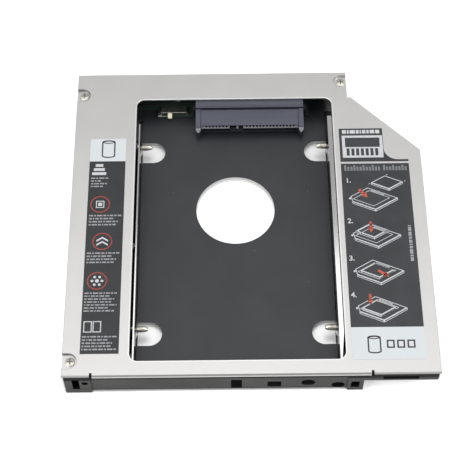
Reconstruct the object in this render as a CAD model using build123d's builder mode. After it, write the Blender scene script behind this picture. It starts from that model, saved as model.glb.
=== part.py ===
"""Bay caddy that carries a 2.5 inch drive in a 12.7 mm high notebook drive bay.

Frame: X to the right, Y to the rear, Z up. The origin is at the middle of the footprint,
on the surface that the caddy rests on. All sizes are in millimetres.
"""
import os
from math import hypot

from build123d import *

os.makedirs("parts", exist_ok=True)

# Case envelope
case_width = 128.0
case_depth = 127.0
case_height = 12.7
body_width = 102.3
wing_thickness = 5.2
wing_side_length = 90.8
cut_rear_margin = 11.7
corner_step = 1.2
sheet = 0.5
edge_round = 0.2
edge_tolerance = 0.1
label_thickness = 0.1

# Drive that the bay holds
drive_width = 69.85
drive_side_clearance = 0.15
drive_hole_spacing = 76.6
drive_hole_height = 3.0
bay_right_margin = 7.925
rear_screw_gap = 15.6

# Window in the cover
window_left_gap = 1.425
window_right_gap = 1.825
window_front_margin = 5.8
window_rear_margin = 12.1
window_corner_radius = 2.8

# Raised floor of the tray and the film on it
floor_height = 2.4
film_thickness = 0.1
film_edge_margin = 0.05
floor_edge_gap = 0.25
floor_front_gap = 0.4
floor_rear_margin = 3.0
centre_hole_diameter = 28.8
centre_hole_setback = 26.2
notch_width = 9.0
notch_reach = 8.775
notch_setback = 0.4

# Pressed recesses and screws of the cover
recess_width = 5.8
recess_length = 5.0
recess_depth = 1.0
cover_screw_inset = 2.8
rear_right_screw_inset = 2.1
rear_left_screw_margin = 9.7
front_left_screw_margin = 5.9
rear_right_screw_margin = 4.35
cover_screw_head_diameter = 3.4
cover_screw_head_height = 0.75
screw_head_rim = 0.2
cover_screw_diameter = 1.9
cover_screw_length = 3.0
cross_width = 0.42
cross_length = 1.9
cross_depth = 0.45
tab_margin = 0.4
thread_clearance = 0.05
through_hole_gap = 0.1
collar_wall = 0.4
collar_length = 1.2

# Folded front lips of the cover and the tray
cover_lip_start = 10.4
cover_lip_overrun = 2.2
cover_lip_height = 1.2
cover_fold_radius = 0.8
tray_lip_start = 10.0
tray_lip_end_margin = 5.8
tray_lip_height = 1.0
tray_fold_radius = 0.3
relief_width = 0.9
relief_depth = 1.4
step_relief_radius = 0.7

# Moulded front rail
rail_depth = 4.0
rail_wall = 1.2
rail_skin = 1.0
rail_side_gap = 0.15
lip_end_gap = 0.4
rib_thickness = 1.0
peg_diameter = 2.0
peg_gap = 0.05
left_peg_margin = 18.0
right_peg_margin = 17.8
wing_skin = 0.5
# Each opening: centre from the left edge or from the step, width, lowest height, height, corner radius
left_rail_openings = (
    (4.5, 2.45, 2.7, 7.2, 0.2),
    (7.6, 2.3, 6.05, 2.3, 1.1),
)
step_rail_openings = (
    (-43.25, 3.75, 1.3, 6.6, 0.2),
    (-30.35, 4.7, 2.15, 4.1, 0.5),
    (-18.85, 4.7, 3.05, 4.2, 1.9),
    (-8.6, 4.45, 0.95, 4.2, 1.9),
    (-2.85, 2.9, 2.05, 4.5, 0.2),
    (12.35, 12.1, 8.35, 2.05, 0.3),
)
left_rib_centres = (13.0, 24.5, 36.0, 47.5)
step_rib_centres = (-37.0, -24.6, -13.7, 3.7)

# Side guides of the bay
guide_sheet = 0.5
guide_top_gap = 0.1
left_guide_reach = 6.2
right_guide_reach = 9.1
guide_foot_width = 4.0
guide_top_flange = 1.6
guide_flange_taper = 11.0
boss_height = 0.5
boss_base_diameter = 6.4
boss_top_diameter = 4.4
boss_collar_length = 1.3
guide_slot_length = 2.8
guide_slot_height = 2.4
guide_slot_offset = 3.4
rivet_diameter = 1.5
rivet_head_diameter = 2.6
rivet_head_height = 0.35
rivet_head_taper = 30
rivet_front_margin = 8.0
rivet_rear_margin = 2.0

# Retaining screws of the drive
drive_screw_diameter = 2.5
drive_screw_length = 6.7
drive_screw_reach = 4.25
drive_screw_nose = 1.6
drive_screw_nose_bulge = 0.68
drive_screw_tip_diameter = 0.9
drive_screw_slot_width = 0.5
drive_screw_slot_depth = 0.8
access_hole_diameter = 3.4

# Adapter board
board_thickness = 1.0
board_rear_gap = 2.0
board_depth = 11.5
board_left_margin = 2.4
board_right_margin = 1.25
board_step_gap = 0.3
board_step_depth = 4.2
left_board_screw_gap = 9.3
right_board_screw_margin = 2.8
board_screw_rear_margin = 2.6
board_screw_head_diameter = 3.2
board_screw_head_height = 0.7
board_screw_diameter = 1.9
board_screw_length = 2.6
shelf_margin = 0.5

# Drive receptacle
receptacle_offset = 6.0
receptacle_front_reach = 7.6
receptacle_block_depth = 4.4
receptacle_body_width = 36.9
receptacle_top = 8.1
receptacle_bottom = 3.7
block_top = 9.0
block_groove = 0.4
block_groove_depth = 0.7
guide_post_width = 1.85
guide_post_gap = 0.15
guide_post_reach = 2.4
guide_post_point = 1.3
guide_post_slope_run = 1.9
guide_post_slope_drop = 2.2
ear_width = 1.0
ear_depth = 1.6
ear_height = 1.2
tongue_height = 2.0
tongue_depth = 5.5
tongue_bottom = 4.4
ledge_reach = 0.3
ledge_height = 0.4
contact_pitch = 1.27
signal_contacts = 7
power_contacts = 15
signal_start = -16.4
power_start = -1.1
contact_width = 0.45
contact_thickness = 0.2
contact_slot_width = 0.7
contact_slot_height = 1.1
contact_slot_roof = 0.2
# Each key opening between the contact groups: left end from the receptacle's middle, and width
key_openings = ((-7.6, 2.6), (-4.3, 1.9))
key_depth = 4.0
contact_setback = 0.3
contact_foot = 0.9
contact_riser_gap = 0.4

# Host plug at the rear
host_left_margin = 3.3
host_width = 25.4
host_height = 5.0
host_depth = 7.5
host_wall = 0.9
host_cavity_depth = 5.2
host_tongue_width = 21.0
host_tongue_thickness = 1.2
host_tongue_setback = 0.4
host_cutout_gap = 0.4
host_signal_start = -9.6
host_signal_contacts = 7
host_power_start = 1.4
host_power_contacts = 6
host_contact_slot = 0.8
host_contact_setback = 0.8
host_corner_round = 0.45

# Slide switch on the board
switch_gap = 2.65
switch_width = 9.7
switch_depth = 2.8
switch_setback = 0.8
switch_height = 1.6
switch_sheet = 0.2
switch_edge_round = 0.15
switch_tab_length = 1.1
switch_tab_depth = 1.0
switch_side_gap = 0.05
knob_width = 1.6
knob_height = 1.0
knob_reach = 1.9
knob_root = 0.8
knob_rest_offset = -1.5
knob_travel = 3.0
knob_gap = 0.3
knob_round = 0.25
terminal_count = 3
terminal_pitch = 2.5
terminal_width = 0.5
terminal_length = 1.0

# Small parts of the board
capacitor_length = 2.0
capacitor_width = 1.25
capacitor_height = 0.8
left_capacitor_offsets = (5.5, 9.0, 12.5)
right_capacitor_offset = -6.2

# Mounting holes for the notebook's own bracket
bracket_hole_diameter = 1.6
bracket_hole_spacing = 12.0
bracket_hole_margin = 26.3
bracket_hole_height = 6.35

# Printed labels
left_label_width = 13.2
left_label_length = 88.5
left_label_inset = 6.0
left_label_front_margin = 8.5
right_label_inset = 3.95
right_label_width = 24.95
right_label_front_margin = 5.3
right_label_length = 79.45
header_gap = 0.95
header_width = 16.15
header_length = 14.8
header_tail_height = 0.8
header_curve_radius = 5.0

# Places worked out from the driving sizes
left_x = -case_width / 2
right_x = case_width / 2
front_y = -case_depth / 2
rear_y = case_depth / 2
fold_y = front_y + sheet
step_x = left_x + body_width
cover_top = case_height - label_thickness
cover_under = cover_top - sheet
wing_under = case_height - wing_thickness
cut_front_y = front_y + wing_side_length
cut_rear_x = step_x + corner_step
cut_rear_y = rear_y - cut_rear_margin
cut_run = right_x - cut_rear_x
cut_rise = cut_rear_y - cut_front_y
platform_top = floor_height - film_thickness
bay_half = drive_width / 2 + drive_side_clearance
guide_right_x = step_x - bay_right_margin
bay_x = guide_right_x - bay_half
guide_left_x = bay_x - bay_half
board_rear_y = rear_y - board_rear_gap
board_front_y = board_rear_y - board_depth
rear_screw_y = board_front_y - rear_screw_gap
front_screw_y = rear_screw_y - drive_hole_spacing
screw_ys = (front_screw_y, rear_screw_y)
screw_z = floor_height + drive_hole_height
screw_hole_radius = drive_screw_diameter / 2 + thread_clearance
window_left_x = guide_left_x - window_left_gap
window_right_x = guide_right_x + window_right_gap
window_front_y = front_y + window_front_margin
window_rear_y = rear_y - window_rear_margin
window_x = (window_left_x + window_right_x) / 2
window_y = (window_front_y + window_rear_y) / 2
centre_hole_y = rear_screw_y - centre_hole_setback
cover_lip_start_x = left_x + cover_lip_start
cover_lip_end_x = step_x + cover_lip_overrun
tray_lip_start_x = left_x + tray_lip_start
tray_lip_end_x = step_x - tray_lip_end_margin
rail_back_y = fold_y + rail_depth
floor_front_y = rail_back_y + floor_front_gap
floor_rear_y = rear_y - floor_rear_margin
floor_left_x = guide_left_x + floor_edge_gap
floor_right_x = guide_right_x - floor_edge_gap
board_bottom = floor_height
board_top = board_bottom + board_thickness
board_screw_y = board_rear_y - board_screw_rear_margin
receptacle_x = bay_x + receptacle_offset
receptacle_front_y = board_front_y - receptacle_front_reach
receptacle_rear_y = board_front_y + receptacle_block_depth
half_body = receptacle_body_width / 2
post_in = half_body + guide_post_gap
post_out = post_in + guide_post_width
ear_out = post_out + ear_width
host_left_x = left_x + host_left_margin
host_x = host_left_x + host_width / 2
host_right_x = host_left_x + host_width
switch_right_x = receptacle_x - ear_out - switch_gap
switch_x = switch_right_x - switch_width / 2
switch_left_x = switch_right_x - switch_width
switch_front_y = board_front_y + switch_setback
board_left_x = left_x + board_left_margin
board_right_x = receptacle_x + ear_out + board_right_margin
board_step_x = switch_left_x - switch_tab_length - board_step_gap
left_board_screw_x = host_right_x + left_board_screw_gap
right_board_screw_x = board_right_x - right_board_screw_margin
board_screw_xs = (left_board_screw_x, right_board_screw_x)
right_label_x = step_x - right_label_inset
recess_floor = cover_top - recess_depth
tab_top = recess_floor - sheet
collar_radius = cover_screw_diameter / 2 + thread_clearance + collar_wall
guide_top = cover_under - guide_top_gap
front_left_screw_y = front_y + front_left_screw_margin

# Each cover screw: centre, the side edge that its recess opens to, and the way out
cover_screws_at = (
    (left_x + cover_screw_inset, rear_y - rear_left_screw_margin, left_x, -1),
    (left_x + cover_screw_inset, front_left_screw_y, left_x, -1),
    (step_x - rear_right_screw_inset, rear_y - rear_right_screw_margin, step_x, 1),
)


def span(x0, x1, y0, y1):
    """Rectangle between two corners, in the sketch that is open."""
    with Locations(((x0 + x1) / 2, (y0 + y1) / 2)):
        Rectangle(x1 - x0, y1 - y0)


def block(x0, x1, y0, y1, z0, z1, mode=Mode.ADD):
    """Straight block between two corners, in the part that is open."""
    with Locations(((x0 + x1) / 2, (y0 + y1) / 2, (z0 + z1) / 2)):
        Box(x1 - x0, y1 - y0, z1 - z0, mode=mode)


def finish(part, label):
    """Name a finished piece and write it."""
    part.label = label
    export_step(part, f"parts/{label}.step")


def wing_points(inset, left, front):
    """Outline of the thin right wing, with its cut corner, moved in by the inset."""
    right = right_x - inset
    rear = cut_rear_y - inset
    shift = inset * hypot(cut_run, cut_rise) / cut_run
    corner_y = cut_front_y + inset * cut_rise / cut_run - shift
    corner_x = right_x - (rear + shift - cut_front_y) * cut_run / cut_rise
    return [(left, front), (right, front), (right, corner_y), (corner_x, rear), (left, rear)]


def recess_face(edge_x, outward, y, margin):
    """U-shaped recess that is open to a side edge, widened by the margin."""
    radius = recess_width / 2 + margin
    centre_x = edge_x - outward * (recess_length - recess_width / 2)
    with Locations((centre_x, y)):
        Circle(radius)
    with Locations(((centre_x + edge_x) / 2, y)):
        Rectangle(abs(edge_x - centre_x), 2 * radius)
    with Locations((edge_x + outward * radius, y)):
        Rectangle(2 * radius, 2 * radius + sheet, mode=Mode.SUBTRACT)


def floor_face(inset):
    """Raised floor between the guides and under the board, moved in by the inset."""
    span(floor_left_x + inset, floor_right_x - inset, floor_front_y + inset, floor_rear_y - inset)
    span(board_left_x - shelf_margin + inset, floor_left_x + 2 * inset,
         board_front_y - shelf_margin + inset, floor_rear_y - inset)
    with Locations((window_x, centre_hole_y)):
        Circle(centre_hole_diameter / 2 + inset, mode=Mode.SUBTRACT)
    for screw_y in screw_ys:
        for side in (-1, 1):
            tip_x = window_x + side * (bay_half - notch_reach - inset)
            centre_x = tip_x + side * (notch_width / 2 + inset)
            edge_x = bay_x + side * bay_half
            notch_y = screw_y - notch_setback
            with Locations((centre_x, notch_y)):
                Circle(notch_width / 2 + inset, mode=Mode.SUBTRACT)
            with Locations(((centre_x + edge_x) / 2, notch_y)):
                Rectangle(abs(edge_x - centre_x), notch_width + 2 * inset, mode=Mode.SUBTRACT)


# Pressed top cover
with BuildPart() as top_cover:
    with BuildSketch(Plane.XY.offset(cover_under)):
        with BuildLine():
            Polyline([(left_x, front_y), (right_x, front_y), (right_x, cut_front_y),
                      (cut_rear_x, cut_rear_y), (step_x, cut_rear_y), (step_x, rear_y),
                      (left_x, rear_y)], close=True)
        make_face()
        with Locations((window_x, window_y)):
            RectangleRounded(window_right_x - window_left_x, window_rear_y - window_front_y,
                             window_corner_radius, mode=Mode.SUBTRACT)
    extrude(amount=sheet)
    # Rounded upper edges, and the relief where the step meets the cut corner
    fillet(top_cover.faces().sort_by(Axis.Z)[-1].edges(), radius=edge_round)
    with BuildSketch(Plane.XY.offset(cover_under)):
        with Locations((step_x + step_relief_radius / 2, cut_rear_y)):
            Circle(step_relief_radius)
    extrude(amount=sheet, mode=Mode.SUBTRACT)
    # Front lip, folded down
    block(cover_lip_start_x, cover_lip_end_x, front_y, fold_y, cover_top - cover_lip_height, cover_top)
    for lip_x, outward in ((cover_lip_start_x, -1), (cover_lip_end_x, 1)):
        block(*sorted((lip_x, lip_x + outward * relief_width)), front_y, front_y + relief_depth,
              cover_under, cover_top, mode=Mode.SUBTRACT)
    lip_length = cover_lip_end_x - cover_lip_start_x - relief_width
    lip_edges = top_cover.edges().filter_by(Axis.X).filter_by(
        lambda e: abs(e.center().Y - front_y) < edge_tolerance
        and abs(e.center().Z - cover_top) < edge_tolerance and e.length > lip_length)
    fillet(lip_edges, radius=cover_fold_radius)
    # Recesses for the cover screws
    for screw_x, screw_y, edge_x, outward in cover_screws_at:
        with BuildSketch(Plane.XY.offset(recess_floor - sheet)):
            recess_face(edge_x, outward, screw_y, sheet)
        extrude(amount=recess_depth)
        with BuildSketch(Plane.XY.offset(recess_floor)):
            recess_face(edge_x, outward, screw_y, 0)
        extrude(amount=recess_depth, mode=Mode.SUBTRACT)
        with BuildSketch(Plane.XY.offset(recess_floor)):
            with Locations((screw_x, screw_y)):
                Circle(cover_screw_diameter / 2 + through_hole_gap)
        extrude(amount=-sheet, mode=Mode.SUBTRACT)
finish(top_cover.part, "top_cover")


# Folded and pressed bottom tray
with BuildPart() as bottom_tray:
    with BuildSketch(Plane.XY):
        span(left_x, step_x, fold_y, rear_y)
    extrude(amount=cover_under)
    with BuildSketch(Plane.XY.offset(wing_under)):
        with BuildLine():
            Polyline(wing_points(0, step_x, fold_y), close=True)
        make_face()
    extrude(amount=cover_under - wing_under)
    with BuildSketch(Plane.XY.offset(sheet)):
        span(left_x + sheet, step_x - sheet, front_y, rear_y - sheet)
    extrude(amount=cover_under, mode=Mode.SUBTRACT)
    with BuildSketch(Plane.XY.offset(wing_under + sheet)):
        with BuildLine():
            Polyline(wing_points(sheet, step_x - sheet, front_y), close=True)
        make_face()
    extrude(amount=cover_under, mode=Mode.SUBTRACT)
    # Raised floor, pressed up out of the base
    with BuildSketch(Plane.XY):
        floor_face(0)
    extrude(amount=platform_top)
    with BuildSketch(Plane.XY):
        floor_face(sheet)
    extrude(amount=platform_top - sheet, mode=Mode.SUBTRACT)
    with Locations((window_x, centre_hole_y)):
        Cylinder(centre_hole_diameter / 2, 2 * floor_height, mode=Mode.SUBTRACT)
    # Front lip, folded up
    block(tray_lip_start_x, tray_lip_end_x, front_y, fold_y, 0, tray_lip_height)
    fold_edges = bottom_tray.edges().filter_by(Axis.X).filter_by(
        lambda e: abs(e.center().Y - front_y) < edge_tolerance and abs(e.center().Z) < edge_tolerance)
    fillet(fold_edges, radius=tray_fold_radius)
    # Tabs with drawn threads under the cover's recesses
    for screw_x, screw_y, edge_x, outward in cover_screws_at:
        inner_x = edge_x - outward * (recess_length + tab_margin)
        wall_x = edge_x - outward * sheet
        half_tab = recess_width / 2
        cut_half = half_tab + sheet + tab_margin / 2
        block(*sorted((edge_x + outward * sheet, wall_x)), screw_y - cut_half, screw_y + cut_half,
              tab_top, cover_under, mode=Mode.SUBTRACT)
        block(*sorted((inner_x, wall_x)), screw_y - half_tab, screw_y + half_tab, tab_top - sheet, tab_top)
        with BuildSketch(Plane.XY.offset(tab_top - sheet)):
            with Locations((screw_x, screw_y)):
                Circle(collar_radius)
        extrude(amount=-collar_length)
        with BuildSketch(Plane.XY.offset(tab_top)):
            with Locations((screw_x, screw_y)):
                Circle(cover_screw_diameter / 2 + thread_clearance)
        extrude(amount=-sheet - collar_length, mode=Mode.SUBTRACT)
    # Side holes that let a long screwdriver reach the retaining screws
    for wall_x in (left_x, step_x - sheet):
        with BuildSketch(Plane.YZ.offset(wall_x)):
            with Locations(*[(y, screw_z) for y in screw_ys]):
                Circle(access_hole_diameter / 2)
        extrude(amount=sheet, mode=Mode.SUBTRACT)
    # Rear opening for the host plug
    block(host_left_x - host_cutout_gap, host_right_x + host_cutout_gap,
          rear_y - sheet, rear_y, board_top - host_cutout_gap, board_top + host_height + host_cutout_gap,
          mode=Mode.SUBTRACT)
    # Drawn threads in the rear wall for the notebook's bracket
    bracket_x = step_x - bracket_hole_margin
    bracket_xs = (bracket_x - bracket_hole_spacing / 2, bracket_x + bracket_hole_spacing / 2)
    with BuildSketch(Plane.XZ.offset(sheet - rear_y)):
        with Locations(*[(x, bracket_hole_height) for x in bracket_xs]):
            Circle(bracket_hole_diameter / 2 + collar_wall)
    extrude(amount=collar_length)
    with BuildSketch(Plane.XZ.offset(-rear_y)):
        with Locations(*[(x, bracket_hole_height) for x in bracket_xs]):
            Circle(bracket_hole_diameter / 2)
    extrude(amount=sheet + collar_length, mode=Mode.SUBTRACT)
    # Drawn threads in the raised floor for the board screws
    with BuildSketch(Plane.XY.offset(platform_top - sheet)):
        with Locations(*[(x, board_screw_y) for x in board_screw_xs]):
            Circle(board_screw_diameter / 2 + thread_clearance + collar_wall)
    extrude(amount=-collar_length)
    with BuildSketch(Plane.XY.offset(platform_top)):
        with Locations(*[(x, board_screw_y) for x in board_screw_xs]):
            Circle(board_screw_diameter / 2 + thread_clearance)
    extrude(amount=-sheet - collar_length, mode=Mode.SUBTRACT)
    # Holes for the pegs of the front rail
    peg_y = (fold_y + rail_back_y) / 2
    peg_xs = (left_x + left_peg_margin, step_x - right_peg_margin)
    with BuildSketch(Plane.XY):
        with Locations(*[(x, peg_y) for x in peg_xs]):
            Circle(peg_diameter / 2 + peg_gap)
    extrude(amount=sheet, mode=Mode.SUBTRACT)
    # Holes for the rivets of the side guides
    guide_front_y = floor_front_y
    first_rivet_y = guide_front_y + rivet_front_margin
    last_rivet_y = rear_screw_y + left_guide_reach - rivet_rear_margin
    rivet_ys = (first_rivet_y, (first_rivet_y + last_rivet_y) / 2, last_rivet_y)
    rivet_reach = bay_half + guide_sheet + guide_foot_width / 2
    rivet_spots = [(bay_x + side * rivet_reach, y) for side in (-1, 1) for y in rivet_ys]
    with BuildSketch(Plane.XY):
        with Locations(*rivet_spots):
            Circle(rivet_diameter / 2)
    extrude(amount=sheet, mode=Mode.SUBTRACT)
finish(bottom_tray.part, "bottom_tray")


# Insulating film on the raised floor
with BuildPart() as insulating_film:
    with BuildSketch(Plane.XY.offset(platform_top)):
        floor_face(film_edge_margin)
        with Locations(*[(x, board_screw_y) for x in board_screw_xs]):
            Circle(board_screw_diameter / 2 + through_hole_gap, mode=Mode.SUBTRACT)
    extrude(amount=film_thickness)
finish(insulating_film.part, "insulating_film")


def make_guide(face_x, outward, reach, top_flange):
    """Side guide of the bay, with a foot, two pressed bosses and drawn threads."""
    guide_rear_y = rear_screw_y + reach
    outer_x = face_x + outward * guide_sheet
    foot_x = outer_x + outward * guide_foot_width
    outside = Plane.YZ.offset(outer_x)
    inside = Plane.YZ.offset(face_x)
    with BuildPart() as guide:
        block(*sorted((face_x, outer_x)), guide_front_y, guide_rear_y, sheet, guide_top)
        block(*sorted((outer_x, foot_x)), guide_front_y, guide_rear_y, sheet, sheet + guide_sheet)
        if top_flange:
            flange_x = face_x + outward * top_flange
            with BuildSketch(Plane.XY.offset(guide_top - guide_sheet)):
                with BuildLine():
                    Polyline([(outer_x, guide_front_y), (flange_x, guide_front_y + guide_flange_taper),
                              (flange_x, guide_rear_y), (outer_x, guide_rear_y)], close=True)
                make_face()
            extrude(amount=guide_sheet)
        for screw_y in screw_ys:
            centre = (screw_y, screw_z)
            with BuildSketch(inside):
                with Locations(centre):
                    Circle(boss_base_diameter / 2)
            with BuildSketch(Plane.YZ.offset(face_x - outward * boss_height)):
                with Locations(centre):
                    Circle(boss_top_diameter / 2)
            loft()
            with BuildSketch(outside):
                with Locations(centre):
                    Circle(boss_base_diameter / 2 - guide_sheet / 2)
            with BuildSketch(Plane.YZ.offset(outer_x - outward * boss_height)):
                with Locations(centre):
                    Circle(boss_top_diameter / 2 - guide_sheet / 2)
            loft(mode=Mode.SUBTRACT)
            with BuildSketch(Plane.YZ.offset(face_x)):
                with Locations(centre):
                    Circle(screw_hole_radius + collar_wall)
            extrude(amount=outward * boss_collar_length)
            with BuildSketch(Plane.YZ.offset(face_x - outward * boss_height)):
                with Locations(centre):
                    Circle(screw_hole_radius)
            extrude(amount=outward * (boss_height + boss_collar_length), mode=Mode.SUBTRACT)
            slot_y = screw_y - guide_slot_offset
            block(*sorted((face_x, outer_x)), slot_y - guide_slot_length / 2, slot_y + guide_slot_length / 2,
                  sheet + guide_sheet, sheet + guide_sheet + guide_slot_height, mode=Mode.SUBTRACT)
        with BuildSketch(Plane.XY.offset(sheet)):
            with Locations(*[(outer_x + outward * guide_foot_width / 2, y) for y in rivet_ys]):
                Circle(rivet_diameter / 2)
        extrude(amount=guide_sheet, mode=Mode.SUBTRACT)
    return guide.part


finish(make_guide(guide_left_x, -1, left_guide_reach, 0), "left_guide")
finish(make_guide(guide_right_x, 1, right_guide_reach, guide_top_flange), "right_guide")


# Rivets that hold the side guides, flush under the base
with BuildPart() as guide_rivets:
    with BuildSketch(Plane.XY):
        with Locations(*rivet_spots):
            Circle(rivet_diameter / 2)
    extrude(amount=sheet + guide_sheet)
    with BuildSketch(Plane.XY.offset(sheet + guide_sheet)):
        with Locations(*rivet_spots):
            Circle(rivet_head_diameter / 2)
    extrude(amount=rivet_head_height, taper=rivet_head_taper)
finish(guide_rivets.part, "guide_rivets")


# Moulded front rail
with BuildPart() as front_rail:
    rail_left_x = left_x + sheet + rail_side_gap
    rail_body_right_x = step_x - sheet - rail_side_gap
    rail_right_x = right_x - sheet - rail_side_gap
    lip_under = cover_top - cover_lip_height - rail_side_gap
    # Block behind the lips
    block(rail_left_x, rail_body_right_x, fold_y, rail_back_y, sheet, cover_under)
    block(rail_body_right_x, rail_right_x, fold_y, rail_back_y, wing_under + sheet, cover_under)
    # Flush faces beside the lips
    block(rail_left_x, tray_lip_start_x - lip_end_gap, front_y, fold_y, 0, cover_under)
    block(tray_lip_end_x + lip_end_gap, step_x, front_y, fold_y, 0, lip_under)
    block(step_x, rail_right_x, front_y, fold_y, wing_under, lip_under)
    block(cover_lip_end_x + relief_width, rail_right_x, front_y, fold_y, lip_under, cover_under)
    # Hollow back with ribs
    block(rail_left_x + rail_wall, rail_body_right_x - rail_wall, fold_y + rail_wall, rail_back_y,
          sheet + rail_skin, cover_under - rail_skin, mode=Mode.SUBTRACT)
    block(rail_body_right_x + rail_wall, rail_right_x - rail_wall, fold_y + rail_wall, rail_back_y,
          wing_under + sheet + wing_skin, cover_under - rail_skin, mode=Mode.SUBTRACT)
    rib_xs = [left_x + centre for centre in left_rib_centres]
    rib_xs += [step_x + centre for centre in step_rib_centres]
    for rib_x in rib_xs:
        rib_bottom = sheet if rib_x < step_x else wing_under + sheet
        block(rib_x - rib_thickness / 2, rib_x + rib_thickness / 2, fold_y, rail_back_y,
              rib_bottom, cover_under)
    # Openings in the front face
    with BuildSketch(Plane.XZ.offset(-front_y)):
        for edge_x, openings in ((left_x, left_rail_openings), (step_x, step_rail_openings)):
            for centre, width, low, height, radius in openings:
                with Locations((edge_x + centre, low + height / 2)):
                    RectangleRounded(width, height, radius)
    extrude(amount=-(sheet + rail_wall), mode=Mode.SUBTRACT)
    # Corner cut away under the cover's recess and the tray's tab
    pocket_front_y = front_left_screw_y - recess_width / 2 - sheet - tab_margin / 2
    block(rail_left_x, left_x + recess_length + sheet + tab_margin, pocket_front_y, rail_back_y,
          tab_top - sheet - collar_length - tab_margin, cover_under, mode=Mode.SUBTRACT)
    # Pegs that stand in the tray's holes
    with BuildSketch(Plane.XY.offset(sheet)):
        with Locations(*[(x, peg_y) for x in peg_xs]):
            Circle(peg_diameter / 2)
    extrude(amount=-sheet)
finish(front_rail.part, "front_rail")


def make_drive_screw(face_x, outward, screw_y):
    """Retaining screw: round nose into the drive, slot at the outer end."""
    tip_x = face_x - outward * drive_screw_reach
    end_x = tip_x + outward * drive_screw_length
    shoulder_x = tip_x + outward * drive_screw_nose
    radius = drive_screw_diameter / 2
    tip_radius = drive_screw_tip_diameter / 2
    with BuildPart() as screw:
        with BuildSketch(Plane.XZ.offset(-screw_y)):
            with BuildLine():
                Line((tip_x, screw_z), (end_x, screw_z))
                Line((end_x, screw_z), (end_x, screw_z + radius))
                Line((end_x, screw_z + radius), (shoulder_x, screw_z + radius))
                bulge = drive_screw_nose_bulge * (radius - tip_radius)
                middle = ((tip_x + shoulder_x) / 2, screw_z + tip_radius + bulge)
                ThreePointArc((shoulder_x, screw_z + radius), middle, (tip_x, screw_z + tip_radius))
                Line((tip_x, screw_z + tip_radius), (tip_x, screw_z))
            make_face()
        revolve(axis=Axis((0, screw_y, screw_z), (1, 0, 0)))
        block(*sorted((end_x, end_x - outward * drive_screw_slot_depth)),
              screw_y - drive_screw_slot_width / 2, screw_y + drive_screw_slot_width / 2,
              screw_z - radius, screw_z + radius, mode=Mode.SUBTRACT)
    return screw.part


for place, screw_y in (("front", front_screw_y), ("rear", rear_screw_y)):
    finish(make_drive_screw(guide_left_x, -1, screw_y), f"{place}_left_drive_screw")
    finish(make_drive_screw(guide_right_x, 1, screw_y), f"{place}_right_drive_screw")


def make_cross_screw(head_diameter, head_height, diameter, length):
    """Round-headed cross screw whose head stands on the level of its own origin."""
    head_radius = head_diameter / 2
    with BuildPart() as screw:
        with BuildSketch(Plane.XZ):
            with BuildLine():
                Line((0, head_height), (0, 0))
                Line((0, 0), (head_radius, 0))
                Line((head_radius, 0), (head_radius, screw_head_rim))
                TangentArc((0, head_height), (head_radius, screw_head_rim), tangent=(1, 0))
            make_face()
        revolve(axis=Axis.Z)
        with BuildSketch():
            Circle(diameter / 2)
        extrude(amount=-length)
        with BuildSketch(Plane.XY.offset(head_height)):
            Rectangle(cross_length, cross_width)
            Rectangle(cross_width, cross_length)
        extrude(amount=-cross_depth, mode=Mode.SUBTRACT)
    return screw.part


# Screws of the cover
cover_screw = make_cross_screw(cover_screw_head_diameter, cover_screw_head_height,
                               cover_screw_diameter, cover_screw_length)
with BuildPart() as cover_screws:
    with Locations(*[(x, y, recess_floor) for x, y, edge_x, outward in cover_screws_at]):
        add(cover_screw)
finish(cover_screws.part, "cover_screws")


# Adapter board
with BuildPart() as adapter_board:
    with BuildSketch(Plane.XY.offset(board_bottom)):
        span(board_left_x, board_right_x, board_front_y + board_step_depth, board_rear_y)
        span(board_step_x, board_right_x, board_front_y, board_rear_y)
        with Locations(*[(x, board_screw_y) for x in board_screw_xs]):
            Circle(board_screw_diameter / 2 + through_hole_gap, mode=Mode.SUBTRACT)
    extrude(amount=board_thickness)
finish(adapter_board.part, "adapter_board")


# Screws of the board
board_screw = make_cross_screw(board_screw_head_diameter, board_screw_head_height,
                               board_screw_diameter, board_screw_length)
with BuildPart() as board_screws:
    with Locations(*[(x, board_screw_y, board_top) for x in board_screw_xs]):
        add(board_screw)
finish(board_screws.part, "board_screws")


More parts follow.
